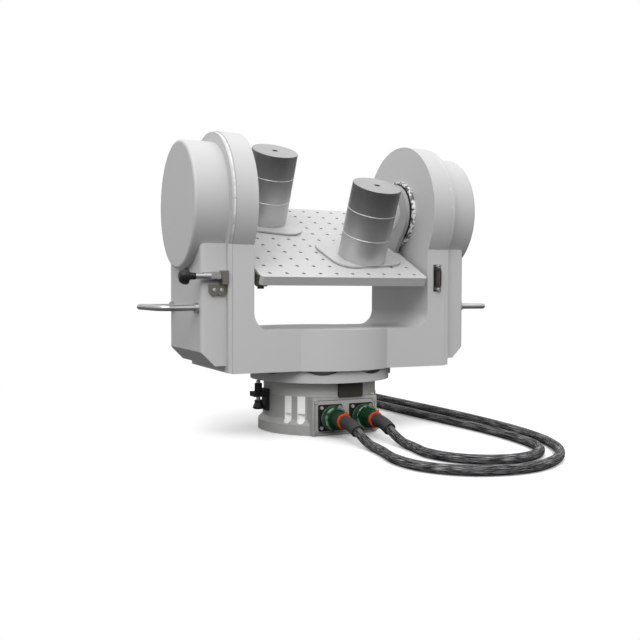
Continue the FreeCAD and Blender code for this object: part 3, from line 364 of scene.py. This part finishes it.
def greenPlating():
    # Dark green plating on a threaded connector, painted light green along its two raised bands, partly rubbed
    # plating and partly painted highlights on their rims.
    shader = Shader("green_plating")
    x, y, z = where = shader.place()
    first, second = (abs(y + place).below(half, 0.0004) for place, half in connectorBands)
    # Light green painted along the bands: rubbed plating and painted highlights.
    wearAndHighlight = first.most(second) * shader.noise(where, scale=140, detail=3).beyond(0.48, 0.1) * 0.7
    plating = shader.mottled((0.0018, 0.034, 0.012), where, scale=70, detail=4, darkest=0.5, spread=0.9)
    rough = 0.28 + shader.noise(where, scale=90, detail=3) * 0.16
    return shader.finish(shader.mix(wearAndHighlight, plating, (0.30, 0.55, 0.38, 1)), rough,
                         shader.bump(y.wave(1.9 * mm), distance=0.00018, strength=0.7), metallic=0.2,
                         coat_weight=0.12)


def moulded(name, colour, roughness=0.42, grain=900, depth=0.00004, gloss=0.5):
    # Plastic, rubber or oxide with a fine grain.
    shader = Shader(name)
    where = shader.place()
    patches = shader.noise(where, scale=45, detail=4)
    normal = shader.bump(shader.noise(where, scale=grain), depth, strength=0.6)
    return shader.finish(shader.shade(colour, 0.8 + patches * 0.4), roughness + patches * 0.14, normal,
                         specular_ior_level=gloss)


def ridgedRubber():
    # A cable boot with shallow rings round it.
    shader = Shader("boot_rubber")
    x, y, z = where = shader.place()
    base = shader.mottled((0.028, 0.028, 0.03), where, scale=80, detail=4, darkest=0.8, spread=0.4)
    height = y.wave(3 * mm) * 0.5 + shader.noise(where, scale=800) * 0.2
    rough = 0.5 + shader.noise(where, scale=60, detail=3) * 0.16
    return shader.finish(base, rough, shader.bump(height, distance=0.00018, strength=0.7))


sleeve = {"strands": 12, "lay": 34 * mm, "threads": 5, "glintsAlong": 70, "glintsAround": 90}


def braidedSleeve(length):
    # Black monofilament braid: two families of strands cross, each strand painted darker toward its edges as shade
    # between them, and glints painted where single threads catch the light.
    shader = Shader(f"sleeve_{round(length * 100)}")
    along, around, unused = shader.place("UV")
    strands = sleeve["strands"]
    turns = along * (length / sleeve["lay"])
    left = (around * strands + turns * strands / 2).wave(1)
    right = (around * strands - turns * strands / 2).wave(1)
    over = (left * right).beyond(0.0, 0.25)
    weave = abs(left) * over + abs(right) * (1 - over)
    threads = (around * strands * sleeve["threads"] + turns * 3).wave(1)
    spread = (along * length * sleeve["glintsAlong"], around * sleeve["glintsAround"], 0)
    glints = shader.noise(spread, scale=1).beyond(0.575, 0.04)
    # Painted shade between the strands and painted highlight glints on single threads.
    base = shader.mix(glints * 0.9, shader.shade((0.012, 0.012, 0.013), 0.4 + weave), (0.50, 0.50, 0.51, 1))
    normal = shader.bump(weave + threads * 0.2, distance=0.0006, strength=0.8)
    return shader.finish(base, 0.45 + weave * 0.12, normal, specular_ior_level=0.22)


sealAndShadowRadius = 46.6 * mm


def retainerFace():
    # A near-black band in the bore, partly a dark seal and partly the painted shadow of the gap behind it, inside a
    # bright ring that is nicked all round and speckled with painted sparkle highlights.
    shader = Shader("retainer_face")
    x, y, z = where = shader.place()
    up = z - axisHeight
    # The dark band is a seal with the gap's shadow painted in.
    sealAndShadow = (y * y + up * up).root().below(sealAndShadowRadius, 0.0003)
    nicksAndSparkle = shader.noise(where, scale=190, detail=3)
    # White and dark grey specks: nicks, with painted sparkle highlights.
    ring = shader.mix(nicksAndSparkle.beyond(0.49, 0.05), (0.16, 0.16, 0.155, 1), (0.93, 0.93, 0.92, 1))
    return shader.finish(shader.mix(sealAndShadow, ring, (0.012, 0.012, 0.012, 1)), 0.18 + nicksAndSparkle * 0.3 + sealAndShadow * 0.3,
                         shader.bump(nicksAndSparkle, distance=0.0004, strength=0.7), metallic=(1 - sealAndShadow) * 0.35)


def woundCopper():
    # Varnished windings and steel of the motors, seen only with the covers off.
    shader = Shader("motor_pack")
    x, y, z = where = shader.place()
    layers = x.wave(1.2 * mm)
    base = shader.mottled((0.25, 0.17, 0.11), where, scale=120, detail=3, darkest=0.8, spread=0.4)
    return shader.finish(base, 0.35 + layers * 0.06, shader.bump(layers, distance=0.0001, strength=0.7),
                         metallic=0.7)


yokePaint = castPaint()
drumPaint = satinPaint("drum_paint", (0.63, 0.635, 0.625), 0.8)
uprightPaint = satinPaint("upright_paint", (0.34, 0.34, 0.335))
tablePaint = satinPaint("table_paint", (0.60, 0.605, 0.595))
ringPaint = satinPaint("ring_paint", (0.46, 0.46, 0.445), 1.2)
capPaint = satinPaint("cap_paint", (0.96, 0.96, 0.95), 0.6)
steel = brightSteel("polished_steel", (0.64, 0.635, 0.62), (1, 0.1, 1))
plungerSteel = brightSteel("plunger_steel", (0.70, 0.68, 0.65), (0.1, 1, 1), 0.14)
screwSteel = brightSteel("screw_steel", (0.92, 0.92, 0.90), (1, 1, 1), 0.3, 0.14, 0.55)
bearingSteel = brightSteel("bearing_steel", (0.55, 0.55, 0.56), (1, 0.3, 0.3), 0.16)
shellSteel = brightSteel("shell_steel", (0.11, 0.105, 0.10), (1, 1, 1), 0.24)
sheetMetal = rolledSheet("sheet_metal", (0.86, 0.86, 0.845), 0.36, 0.15)
bracketMetal = rolledSheet("bracket_metal", (0.25, 0.245, 0.21), 0.28, 0.9)
darkMetal = moulded("dark_oxide", (0.012, 0.012, 0.011), 0.42, 500, 0.00004, 0.3)
stopMetal = moulded("stop_oxide", (0.040, 0.037, 0.029), 0.5, 300, 0.00008, 0.25)
blackPlastic = moulded("black_plastic", (0.010, 0.010, 0.011), 0.28, 900, 0.00004, 0.4)
insulator = moulded("insulator", (0.050, 0.017, 0.020), 0.4, 900, 0.00004, 0.3)
orangePlastic = moulded("orange_plastic", (0.99, 0.062, 0.014), 0.4, 900, 0.00004, 0.3)
green = greenPlating()
finishes = {
    yokePaint: ["yoke_frame"],
    coverPaint(): ["left_side_cover", "right_side_cover"],
    drumPaint: ["left_drum_cover", "right_drum_cover"],
    uprightPaint: ["left_upright", "right_upright"],
    tablePaint: ["turntable"],
    ringPaint: ["azimuth_bearing_housing"],
    basePaint(): ["base_housing"],
    panelPaint(): ["connector_panel"],
    platformPaint(): ["platform"],
    turnedSteel("left_weight_steel", weights["places"]["left"]): ["left_weights"],
    turnedSteel("right_weight_steel", weights["places"]["right"]): ["right_weights"],
    steel: ["handles", "handle_ferrules"],
    shellSteel: ["dsub_shell"],
    plungerSteel: ["elevation_plunger_barrel", "elevation_plunger_pin", "azimuth_plunger_pin"],
    screwSteel: ["panel_screws"],
    retainerFace(): ["bearing_retainers"],
    bearingSteel: ["azimuth_outer_race", "azimuth_inner_race", "elevation_outer_races", "elevation_inner_races",
                   "azimuth_shaft", "trunnions", "azimuth_stop_dog", "azimuth_encoder_disc",
                   "elevation_encoder_disc"],
    sheetMetal: ["left_seat_plate", "right_seat_plate", "azimuth_home_flag"],
    bracketMetal: ["elevation_plunger_bracket", "stow_receiver"],
    darkMetal: ["azimuth_plunger_bracket", "azimuth_plunger_barrel", "left_connector_shell",
                "right_connector_shell"],
    stopMetal: ["azimuth_stop_block"],
    woundCopper(): ["azimuth_motor_stator", "azimuth_motor_rotor", "elevation_motor_stator",
                    "elevation_motor_rotor"],
    green: ["left_coupling_nut", "right_coupling_nut", "backshells"],
    orangePlastic: ["clamp_rings"],
    blackPlastic: ["azimuth_plunger_knob", "elevation_plunger_knob", "azimuth_read_head", "elevation_read_head",
                   "left_cable_plug", "right_cable_plug"],
    ridgedRubber(): ["cable_boots"],
}
for material, names in finishes.items():
    for name in names:
        for held in nodes[name].material_slots:
            held.material = material


print("stage: cables")
cableMiddle = 6
cableRadius = cableMiddle * mm
bootEnd = {"left": (-24, -169, 17.95), "right": (24, -169, 17.95)}
cableRoutes = {
    "left": [(-24, -195.8), (-28, -242), (-42, -294), (-34, -348), (8, -390), (78, -400), (144, -365),
             (196, -298), (223, -191), (231, -41), (223.5, 180), (223.5, 300)],
    "right": [(24, -195.8), (20, -240), (12, -280), (33, -330), (84, -353), (139, -336), (174, -285),
              (187, -176), (181, -56), (175.5, 45), (175.5, 135)],
}
coilPlaces = {"left": (134, 332), "right": (86, 165)}
cableLengths = {"left": 2.1, "right": 1.79}
coil = {"entry": 89.5, "outer": 79, "entryTurns": 0.25, "pitch": 12, "steps": 16,
        "flatTurns": 2.0, "plugAngle": 130, "plugBack": 24, "radius": 66, "plugHeight": 24}


def eased(amount):
    amount = min(1, max(0, amount))
    return amount * amount * (3 - 2 * amount)


def coilPoints(middle):
    # A flat spiral that winds in, then climbs over its turns into the back of the plug that lies on them.
    last = coil["plugAngle"] / 360 + 2 - math.atan2(coil["plugBack"], coil["radius"]) / (2 * math.pi)
    plugRadius = math.hypot(coil["radius"], coil["plugBack"])
    count = round(last * coil["steps"])
    points = []
    for step in range(count + 1):
        turn = last * step / count
        radius = coil["outer"] + (coil["entry"] - coil["outer"]) * (1 - eased(turn / coil["entryTurns"]))
        radius -= coil["pitch"] * max(0, turn - coil["entryTurns"])
        climb = eased((turn - coil["flatTurns"]) / (last - coil["flatTurns"]))
        radius += (plugRadius - radius) * climb ** 2
        height = cableMiddle + (coil["plugHeight"] - cableMiddle) * climb
        angle = 2 * math.pi * turn
        points.append((middle[0] + radius * math.cos(angle), middle[1] + radius * math.sin(angle), height))
    return points


def cableCurve(side):
    route = [(x, y, cableMiddle) for x, y in cableRoutes[side]]
    points = [bootEnd[side]] + route + coilPoints(coilPlaces[side])
    curve = bpy.data.curves.new(side + "_braided_cable", "CURVE")
    curve.dimensions = "3D"
    curve.bevel_depth = cableRadius
    curve.bevel_resolution = 6
    curve.resolution_u = 8
    curve.use_fill_caps = True
    spline = curve.splines.new("NURBS")
    spline.points.add(len(points) - 1)
    for held, point in zip(spline.points, points):
        held.co = [each * mm for each in point] + [1]
    spline.order_u = 3
    spline.use_endpoint_u = True
    cable = bpy.data.objects.new(side + "_braided_cable", curve)
    bpy.context.collection.objects.link(cable)
    curve.materials.append(braidedSleeve(cableLengths[side]))
    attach(cable, "base")
    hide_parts(side + "_cable", side + "_cable_coil")


for side in ("left", "right"):
    cableCurve(side)


print("stage: small pieces")


def meshObject(name, shape, material, body):
    data = bpy.data.meshes.new(name)
    bmesh.ops.recalc_face_normals(shape, faces=shape.faces)
    shape.to_mesh(data)
    shape.free()
    data.materials.append(material)
    made = bpy.data.objects.new(name, data)
    bpy.context.collection.objects.link(made)
    for face in data.polygons:
        face.use_smooth = True
    data.set_sharp_from_angle(angle=math.radians(35))
    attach(made, body)


def lathed(shape, profile, where, segments=32):
    # Profile is (radius, height); where is a matrix that puts the turning axis, its z, in place.
    rings = []
    for radius, height in profile:
        ring = []
        for step in range(segments if radius else 1):
            angle = 2 * math.pi * step / segments
            point = Vector((radius * math.cos(angle), radius * math.sin(angle), height))
            ring.append(shape.verts.new(where @ point))
        rings.append(ring)
    for low, high in zip(rings, rings[1:]):
        for step in range(segments):
            corners = [low[step % len(low)], low[(step + 1) % len(low)], high[(step + 1) % len(high)],
                       high[step % len(high)]]
            shape.faces.new(dict.fromkeys(corners))


def aimed(place, direction):
    turn = Vector(direction).normalized().to_track_quat("Z", "Y")
    return Matrix.Translation([each * mm for each in place]) @ turn.to_matrix().to_4x4()


def scaled(profile):
    return [(radius * mm, height * mm) for radius, height in profile]


buttonHead = scaled([(0, 0.7), (1.1, 0.7), (1.3, 2.0), (1.9, 1.8), (2.5, 1.1), (2.8, 0)])
socketHead = scaled([(0, -2.2), (2.0, -2.2), (2.0, 0), (3.8, 0), (4.2, -0.4), (4.2, -4)])
jackscrew = scaled([(0, 1.5), (1.3, 1.5), (1.3, 5), (2.3, 5), (2.7, 4.6), (2.7, 0)])
capHead = scaled([(0, 0.6), (1.1, 0.6), (1.1, 2.2), (1.9, 2.2), (2.2, 1.9), (2.2, 0)])
pinHead = scaled([(0, 0.7), (0.35, 0.6), (0.5, 0.3), (0.5, 0)])
tabHead = scaled([(0, 3.4), (1.6, 3.4), (2.1, 2.9), (2.1, 0)])
hubCap = scaled([(0, 3.2), (20, 3.0), (24.8, 2.2), (25.8, 1), (25.8, -1.5), (0, -1.5)])
bumper = scaled([(0, 0), (4.5, 0), (4.5, 5), (3.9, 5.6), (0, 5.6)])

bracketScrew = {"places": (-178, -188), "face": -78, "height": 201.5}


def bracketScrews():
    shape = bmesh.new()
    for x in bracketScrew["places"]:
        lathed(shape, buttonHead, aimed((x, bracketScrew["face"], bracketScrew["height"]), (0, -1, 0)))
    meshObject("bracket_screws", shape, screwSteel, "yoke")


retainerRing = {"count": 12, "radius": 48.3, "face": 130.7, "start": 0, "sweep": 330, "size": 0.55,
                "outward": -1}


def screwRings(name, ring, material):
    # Screws on an arc round the elevation axis, on both arms, each turned at random about its own axis.
    head = bpy.data.objects.new("head", bpy.data.meshes.new("head"))
    bpy.context.collection.objects.link(head)
    shape = bmesh.new()
    lathed(shape, capHead, Matrix(), 18)
    bmesh.ops.recalc_face_normals(shape, faces=shape.faces)
    shape.to_mesh(head.data)
    shape.free()
    group = bpy.data.node_groups.new(name, "GeometryNodeTree")
    group.interface.new_socket("Geometry", in_out="OUTPUT", socket_type="NodeSocketGeometry")
    given = {"Head": ("Object", head), "Material": ("Material", material), "Count": ("Int", ring["count"]),
             "Radius": ("Float", ring["radius"] * mm), "Start": ("Float", math.radians(ring["start"])),
             "Sweep": ("Float", math.radians(ring["sweep"])), "Size": ("Float", ring["size"])}
    named = {label: group.interface.new_socket(label, in_out="INPUT", socket_type="NodeSocket" + kind)
             for label, (kind, value) in given.items()}

    def node(kind, settings=None, sockets=None):
        made = group.nodes.new(kind)
        for key, setting in (settings or {}).items():
            setattr(made, key, setting)
        for key, source in (sockets or {}).items():
            if isinstance(source, bpy.types.NodeSocket):
                group.links.new(source, made.inputs[key])
            else:
                made.inputs[key].default_value = source
        return made

    entry = node("NodeGroupInput").outputs
    arc = node("GeometryNodeCurveArc", {"mode": "RADIUS"}, {"Resolution": entry["Count"], "Radius": entry["Radius"],
                                                            "Start Angle": entry["Start"],
                                                            "Sweep Angle": entry["Sweep"]})
    spin = node("FunctionNodeRandomValue", {"data_type": "FLOAT_VECTOR"},
                {0: (0, 0, 0), 1: (0, 0, 2 * math.pi), "Seed": 7})
    held = node("GeometryNodeObjectInfo", None, {"Object": entry["Head"]})
    heads = node("GeometryNodeInstanceOnPoints", None,
                 {"Points": arc.outputs["Curve"], "Instance": held.outputs["Geometry"], "Rotation": spin.outputs[0],
                  "Scale": entry["Size"]})
    joined = node("GeometryNodeJoinGeometry")
    for side in (-1, 1):
        facing = side * ring["outward"]
        moved = node("GeometryNodeTransform", None,
                     {"Geometry": heads.outputs["Instances"], "Rotation": (math.pi / 2, 0, facing * math.pi / 2),
                      "Translation": (side * ring["face"] * mm, 0, axisHeight)})
        group.links.new(moved.outputs["Geometry"], joined.inputs[0])
    real = node("GeometryNodeRealizeInstances", None, {"Geometry": joined.outputs[0]})
    coated = node("GeometryNodeSetMaterial", None, {"Geometry": real.outputs[0], "Material": entry["Material"]})
    out = node("NodeGroupOutput", None, {0: coated.outputs[0]})
    carrier = bpy.data.objects.new(name, bpy.data.meshes.new(name))
    bpy.context.collection.objects.link(carrier)
    modifier = carrier.modifiers.new("rings", "NODES")
    modifier.node_group = group
    for label, (kind, value) in given.items():
        modifier[named[label].identifier] = value
    graph = bpy.context.evaluated_depsgraph_get()
    carrier.data = bpy.data.meshes.new_from_object(carrier.evaluated_get(graph), depsgraph=graph)
    carrier.modifiers.clear()
    bpy.data.objects.remove(head)
    carrier.data.set_sharp_from_angle(angle=math.radians(35))
    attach(carrier, "yoke")


dsub = {"x": 151, "z": 220.2, "flange": -86, "face": -87.0, "depth": 2.6, "screwOffset": 16.65, "pinPitch": 2.74,
        "pinRows": ((1.4, 8), (-1.4, 7)), "outline": ((-3.5, -11.1), (3.5, -10.2), (3.5, 10.2), (-3.5, 11.1))}


def dsubDetails():
    middle, height, tip = dsub["x"], dsub["z"], dsub["face"] - dsub["depth"]
    shape = bmesh.new()
    for side in (-1, 1):
        place = (middle, dsub["flange"], height + side * dsub["screwOffset"])
        lathed(shape, jackscrew, aimed(place, (0, -1, 0)), 6)
    meshObject("dsub_jackscrews", shape, screwSteel, "yoke")
    shape = bmesh.new()
    back, front = ([shape.verts.new(Vector((middle + x, y, height + z)) * mm) for x, z in dsub["outline"]]
                   for y in (dsub["face"], tip))
    shape.faces.new(back)
    shape.faces.new(front)
    for step in range(4):
        following = (step + 1) % 4
        shape.faces.new([back[step], back[following], front[following], front[step]])
    meshObject("dsub_insulator", shape, insulator, "yoke")
    shape = bmesh.new()
    for row, count in dsub["pinRows"]:
        for step in range(count):
            z = height + dsub["pinPitch"] * (step - (count - 1) / 2)
            lathed(shape, pinHead, aimed((middle + row, tip, z), (0, -1, 0)), 10)
    meshObject("dsub_pins", shape, screwSteel, "yoke")


def onPlatform(x, y, z):
    return (x, y * math.cos(tilt) - z * math.sin(tilt), axisHeight / mm + y * math.sin(tilt) + z * math.cos(tilt))


def weightBolts():
    shape = bmesh.new()
    normal = (0, -math.sin(tilt), math.cos(tilt))
    top = platformTop / mm + weights["seat"] + weights["count"] * weights["height"]
    for x, y in weights["places"].values():
        lathed(shape, socketHead, aimed(onPlatform(x, y, top - weights["boltSink"]), normal))
    meshObject("weight_bolts", shape, darkMetal, "platform")


clampTab = {"places": (-22, 26), "face": -131, "height": 35.6, "lean": (0.2, 0, 1)}


def clampTabs():
    # The head of each strap clamp stands on top of its orange ring.
    shape = bmesh.new()
    for x in clampTab["places"]:
        lathed(shape, tabHead, aimed((x, clampTab["face"], clampTab["height"]), clampTab["lean"]), 20)
    meshObject("clamp_tabs", shape, orangePlastic, "base")


hubFace = 123.5


def hubCaps():
    # A pale cap in the bore of each upright.
    shape = bmesh.new()
    for side in (-1, 1):
        lathed(shape, hubCap, aimed((side * hubFace, 0, axisHeight / mm), (-side, 0, 0)), 72)
    meshObject("hub_caps", shape, capPaint, "platform")


bumperPlace = (-124, -79.5, 209)


def receiverBumper():
    # A dark round bumper under the stow receiver.
    shape = bmesh.new()
    lathed(shape, bumper, aimed(bumperPlace, (0, 0, -1)), 28)
    meshObject("receiver_bumper", shape, darkMetal, "platform")


bracketScrews()
screwRings("retainer_screws", retainerRing, screwSteel)
hubCaps()
receiverBumper()
dsubDetails()
weightBolts()
clampTabs()


print("stage: studio")
studio = {"floor": 0.92, "floorGlow": 0.12, "floorBounce": 0.11, "floorHalf": 8.0, "fadeStart": 0.40,
          "fadeEnd": 0.78, "floorDrop": 0.4 * mm, "horizon": 0.54, "zenith": 1.42}
softboxes = {
    "top_light": {"place": (0.1, -0.2, 1.9), "target": (0, 0, 0.2), "width": 2.4, "depth": 2.0, "power": 5},
    "front_light": {"place": (-1.3, -2.1, 2.2), "target": (0, 0, 0.25), "width": 2.6, "depth": 2.0,
                    "power": 57},
}


def studioFloor():
    shape = bmesh.new()
    bmesh.ops.create_grid(shape, x_segments=1, y_segments=1, size=studio["floorHalf"])
    data = bpy.data.meshes.new("floor")
    shape.to_mesh(data)
    shape.free()
    floor = bpy.data.objects.new("floor", data)
    floor.location.z = -studio["floorDrop"]
    bpy.context.collection.objects.link(floor)
    shader = Shader("floor")
    x, y, z = shader.place()
    far = (x * x + y * y).root().beyond((studio["fadeStart"] + studio["fadeEnd"]) / 2,
                                        (studio["fadeEnd"] - studio["fadeStart"]) / 2)
    shader.surface.inputs["Base Color"].default_value = (studio["floor"],) * 3 + (1,)
    shader.surface.inputs["Roughness"].default_value = 0.5
    shader.surface.inputs["Specular IOR Level"].default_value = 0.3
    shader.surface.inputs["Emission Color"].default_value = (1, 1, 1, 1)
    shader.surface.inputs["Emission Strength"].default_value = studio["floorGlow"]
    white = shader.node("Emission", None, {"Color": (1, 1, 1, 1), "Strength": 1.0})
    dim = shader.node("BsdfDiffuse", None, {"Color": (studio["floorBounce"],) * 3 + (1,)})
    near = shader.node("MixShader", None, {0: far})
    seen = shader.node("MixShader", None, {0: Number(shader, shader.node("LightPath").outputs["Is Camera Ray"])})
    shader.tree.links.new(shader.surface.outputs["BSDF"], near.inputs[1])
    shader.tree.links.new(white.outputs[0], near.inputs[2])
    shader.tree.links.new(dim.outputs[0], seen.inputs[1])
    shader.tree.links.new(near.outputs[0], seen.inputs[2])
    shader.tree.links.new(seen.outputs[0], shader.output.inputs["Surface"])
    data.materials.append(shader.material)


def softbox(name, place, target, width, depth, power):
    light = bpy.data.objects.new(name, bpy.data.lights.new(name, "AREA"))
    light.data.shape = "RECTANGLE"
    light.data.size = width
    light.data.size_y = depth
    light.data.energy = power
    light.location = place
    light.rotation_euler = (Vector(target) - Vector(place)).to_track_quat("-Z", "Y").to_euler()
    bpy.context.collection.objects.link(light)


def studioWorld():
    world = bpy.data.worlds.new("studio")
    bpy.context.scene.world = world
    world.use_nodes = True
    tree = world.node_tree
    tree.nodes.clear()
    output = tree.nodes.new("ShaderNodeOutputWorld")
    ambient = tree.nodes.new("ShaderNodeBackground")
    ambient.inputs["Color"].default_value = (1, 1, 1, 1)
    # The sky is dimmer near the horizon, so what lies under the platform stays dark.
    facing = tree.nodes.new("ShaderNodeTexCoord")
    parts = tree.nodes.new("ShaderNodeSeparateXYZ")
    height = tree.nodes.new("ShaderNodeMapRange")
    height.inputs["To Min"].default_value = studio["horizon"]
    height.inputs["To Max"].default_value = studio["zenith"]
    tree.links.new(facing.outputs["Generated"], parts.inputs[0])
    tree.links.new(parts.outputs["Z"], height.inputs["Value"])
    tree.links.new(height.outputs["Result"], ambient.inputs["Strength"])
    backdrop = tree.nodes.new("ShaderNodeBackground")
    backdrop.inputs["Color"].default_value = (1, 1, 1, 1)
    backdrop.inputs["Strength"].default_value = 1.0
    path = tree.nodes.new("ShaderNodeLightPath")
    chosen = tree.nodes.new("ShaderNodeMixShader")
    tree.links.new(path.outputs["Is Camera Ray"], chosen.inputs[0])
    tree.links.new(ambient.outputs[0], chosen.inputs[1])
    tree.links.new(backdrop.outputs[0], chosen.inputs[2])
    tree.links.new(chosen.outputs[0], output.inputs["Surface"])


studioFloor()
studioWorld()
for name, settings in softboxes.items():
    softbox(name, **settings)
scene = bpy.context.scene
scene.view_settings.view_transform = "Standard"
scene.render.resolution_x = 640
scene.render.resolution_y = 640
